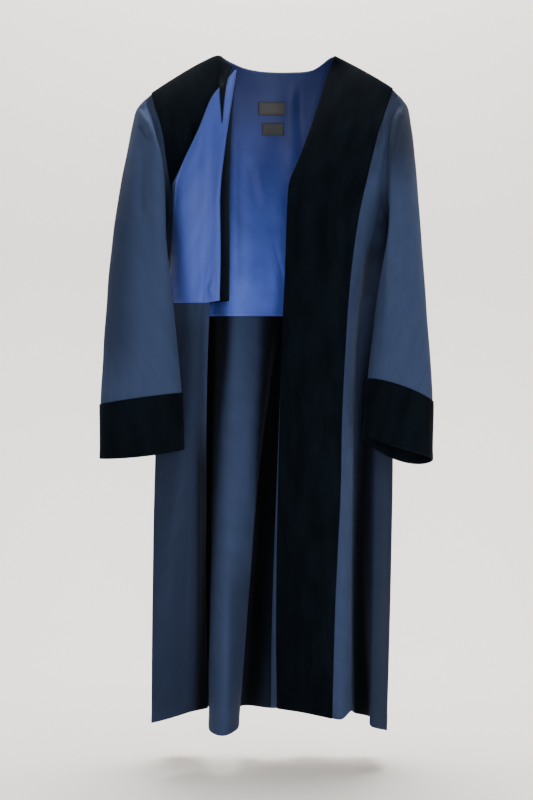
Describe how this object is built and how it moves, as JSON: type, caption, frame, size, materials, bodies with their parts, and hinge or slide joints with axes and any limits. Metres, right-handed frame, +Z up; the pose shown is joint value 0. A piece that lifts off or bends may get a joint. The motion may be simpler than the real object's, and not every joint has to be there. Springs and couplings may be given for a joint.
{
  "type": "judicial robe",
  "caption": "Long open-fronted judicial robe, hollow as if worn, with broad dark velvet front bands and cuffs; one front is folded back to show its half lining.",
  "frame": {"origin": "midway between the two neck points of the shoulder seams, at shoulder height, where the wearer's neck and shoulders hold the robe", "axes": "+Z up, -Y the way the robe's open front faces, +X towards the wearer's left (the viewer's right)"},
  "size_m": [0.6297, 0.253, 1.3001],
  "materials": {
    "wool": "matt dark navy suiting wool",
    "velvet": "blue-black velvet with a short nap",
    "satin": "royal-blue satin lining with a soft sheen",
    "label_cloth": "plain black woven cloth"
  },
  "bodies": {
    "root": {"back": "wool", "band_left": "velvet", "band_right": "velvet", "cuff_left": "velvet", "cuff_right": "velvet", "front_left": "wool", "front_right": "wool", "label_lower": "label_cloth", "label_upper": "label_cloth", "lining_back": "satin", "lining_front_left": "satin", "lining_front_right": "satin", "sleeve_left": "wool", "sleeve_right": "wool"}
  },
  "joints": []
}
